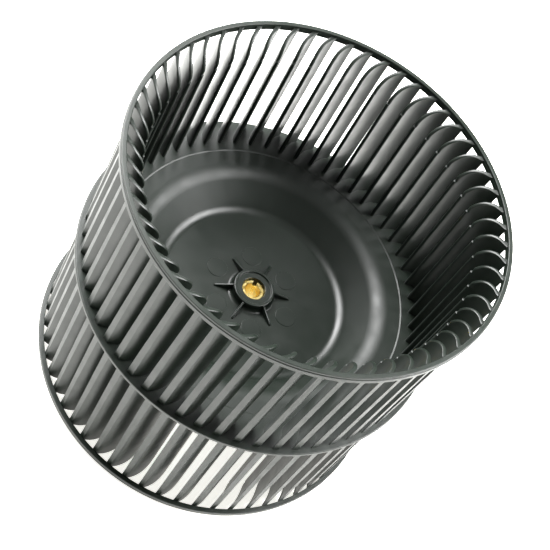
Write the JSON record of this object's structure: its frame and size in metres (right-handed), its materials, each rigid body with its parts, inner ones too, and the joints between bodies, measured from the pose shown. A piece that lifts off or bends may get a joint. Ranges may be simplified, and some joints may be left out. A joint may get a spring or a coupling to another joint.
{
  "type": "blower wheel",
  "caption": "Black double-inlet forward-curved blower wheel with two rows of blades on a dished centre web and a hub with a brass shaft insert.",
  "frame": {"origin": "centre of the lower ring's face, where the wheel's axis meets the plane it stands on", "axes": "+Z along the shaft axis, from the lower ring to the upper ring that shows the recessed hub"},
  "size_m": [0.1524, 0.1524, 0.1342],
  "materials": {
    "black_plastic": "satin moulded black polypropylene",
    "brass_insert": "turned"
  },
  "bodies": {
    "root": {"upper_end_ring": "black_plastic", "lower_end_ring": "black_plastic", "web_rim": "black_plastic", "dished_web": "black_plastic", "hub_plate": "black_plastic", "hub_boss": "black_plastic", "shaft_insert": "brass_insert", "upper_rib_1": "black_plastic", "upper_rib_2": "black_plastic", "upper_rib_3": "black_plastic", "upper_rib_4": "black_plastic", "upper_rib_5": "black_plastic", "upper_rib_6": "black_plastic", "lower_rib_1": "black_plastic", "lower_rib_2": "black_plastic", "lower_rib_3": "black_plastic", "lower_rib_4": "black_plastic", "lower_rib_5": "black_plastic", "lower_rib_6": "black_plastic", "upper_blades": "black_plastic", "lower_blades": "black_plastic"}
  },
  "joints": []
}
